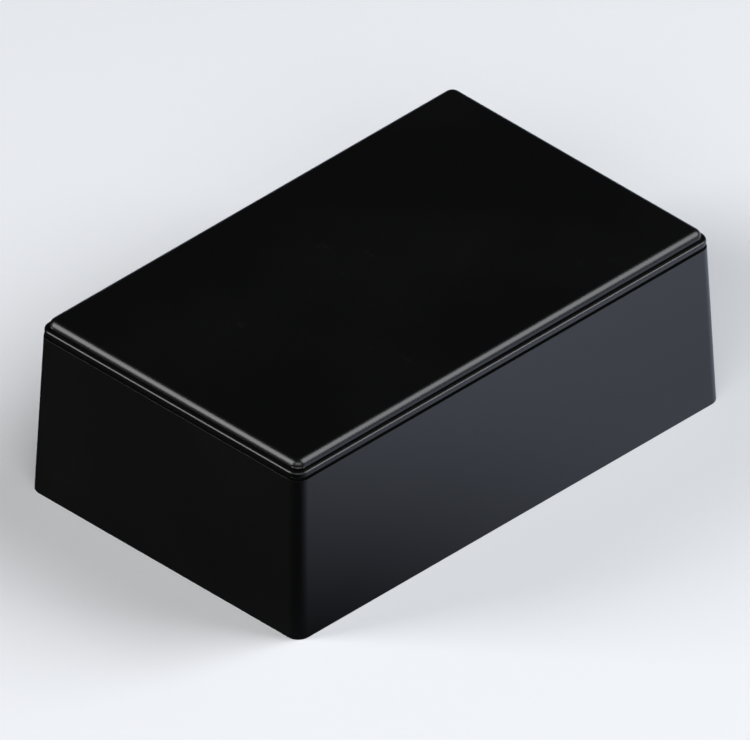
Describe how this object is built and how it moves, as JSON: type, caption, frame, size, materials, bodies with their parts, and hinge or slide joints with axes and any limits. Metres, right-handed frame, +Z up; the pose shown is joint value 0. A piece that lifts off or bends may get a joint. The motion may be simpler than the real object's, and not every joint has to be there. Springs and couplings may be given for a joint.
{
  "type": "plastic project box",
  "caption": "Small rectangular plastic enclosure for a circuit board, with a shouldered lid held by self-tapping screws from below.",
  "frame": {"origin": "centre of the underside of the base", "axes": "+X along the longer side, +Y along the shorter side towards the back, +Z up through the lid"},
  "size_m": [0.11, 0.07, 0.038],
  "materials": {
    "base_plastic": "satin",
    "lid_plastic": "satin",
    "screw_steel": "satin"
  },
  "bodies": {
    "base": {"base": "base_plastic"},
    "lid": {"lid": "lid_plastic"},
    "screw_front_left": {"screw_front_left": "screw_steel"},
    "screw_front_right": {"screw_front_right": "screw_steel"},
    "screw_back_left": {"screw_back_left": "screw_steel"},
    "screw_back_right": {"screw_back_right": "screw_steel"}
  },
  "joints": [
    {"name": "lid_lift", "type": "slide", "parent": "base", "child": "lid", "axis": [0, 0, 1], "range_m": [0, 0.03]},
    {"name": "screw_front_left_out", "type": "slide", "parent": "base", "child": "screw_front_left", "axis": [0, 0, -1], "range_m": [0, 0.034]},
    {"name": "screw_front_right_out", "type": "slide", "parent": "base", "child": "screw_front_right", "axis": [0, 0, -1], "range_m": [0, 0.034]},
    {"name": "screw_back_left_out", "type": "slide", "parent": "base", "child": "screw_back_left", "axis": [0, 0, -1], "range_m": [0, 0.034]},
    {"name": "screw_back_right_out", "type": "slide", "parent": "base", "child": "screw_back_right", "axis": [0, 0, -1], "range_m": [0, 0.034]}
  ]
}
